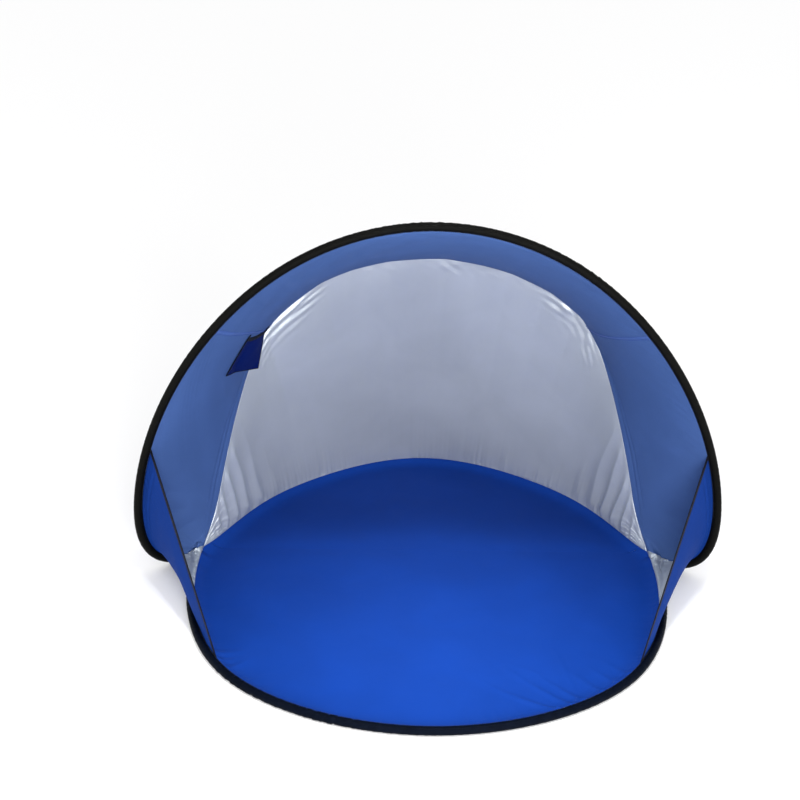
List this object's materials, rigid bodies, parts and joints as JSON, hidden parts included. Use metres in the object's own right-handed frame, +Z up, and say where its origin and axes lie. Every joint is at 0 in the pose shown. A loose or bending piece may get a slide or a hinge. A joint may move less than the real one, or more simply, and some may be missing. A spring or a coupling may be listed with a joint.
{
  "type": "pop up tent",
  "caption": "Pop-up beach shelter with crossing sprung hoops in fabric sleeves, canopy, back wall, side panels, floor sheet and inner pocket.",
  "frame": {"origin": "on the ground below the middle of the open tent", "axes": "+Z up, the open front faces -Y, +X to the right of someone looking into the tent"},
  "size_m": [1.6684, 1.5282, 1.142],
  "materials": {
    "sleeve_black": "matte",
    "binding_black": "matte",
    "spring_steel": "satin",
    "canopy_blue": "satin",
    "wall_silver": "satin",
    "floor_blue": "satin",
    "pocket_navy": "matte"
  },
  "bodies": {
    "rear_ground": {"rear_rim_sleeve": "sleeve_black", "rear_rim_wire": "spring_steel", "rear_rim_ferrule": "spring_steel", "left_corner_sleeve": "sleeve_black", "left_corner_wire": "spring_steel", "right_corner_sleeve": "sleeve_black", "right_corner_wire": "spring_steel", "floor_rear": "floor_blue"},
    "rear_arch": {"rear_arch_sleeve": "sleeve_black", "rear_arch_wire": "spring_steel", "back_wall": "wall_silver"},
    "front_arch": {"front_arch_sleeve": "sleeve_black", "front_arch_wire": "spring_steel", "canopy_roof": "canopy_blue", "canopy_side_left": "canopy_blue", "canopy_side_right": "canopy_blue", "side_panel_left": "canopy_blue", "side_panel_right": "canopy_blue", "edge_binding_left": "binding_black", "edge_binding_right": "binding_black", "pocket": "pocket_navy", "pocket_mouth_band": "binding_black"},
    "front_ground": {"front_rim_sleeve": "sleeve_black", "front_rim_wire": "spring_steel", "front_rim_ferrule": "spring_steel", "floor_front": "floor_blue"}
  },
  "joints": [
    {"name": "rear_arch_fold", "type": "hinge", "parent": "rear_ground", "child": "rear_arch", "pos_m": [0, 0.165, 0.001], "axis": [-1, 0, 0], "range_deg": [0, 55], "stiffness_Nm_per_rad": 6, "springref_deg": -20.05, "deforming": ["back_wall"]},
    {"name": "front_arch_fold", "type": "hinge", "parent": "rear_arch", "child": "front_arch", "pos_m": [0, 0.165, 0.001], "axis": [-1, 0, 0], "range_deg": [0, 33], "deforming": ["canopy_roof", "canopy_side_left", "canopy_side_right", "pocket", "pocket_mouth_band"]},
    {"name": "front_ground_fold", "type": "hinge", "parent": "front_arch", "child": "front_ground", "pos_m": [0, 0.165, 0.001], "axis": [-1, 0, 0], "range_deg": [0, 60.5], "deforming": ["side_panel_left", "side_panel_right", "edge_binding_left", "edge_binding_right"]}
  ],
  "couplings": [
    {"joint": "front_arch_fold", "follows": "rear_arch_fold", "ratio": 0.6},
    {"joint": "front_ground_fold", "follows": "rear_arch_fold", "ratio": 1.1}
  ]
}
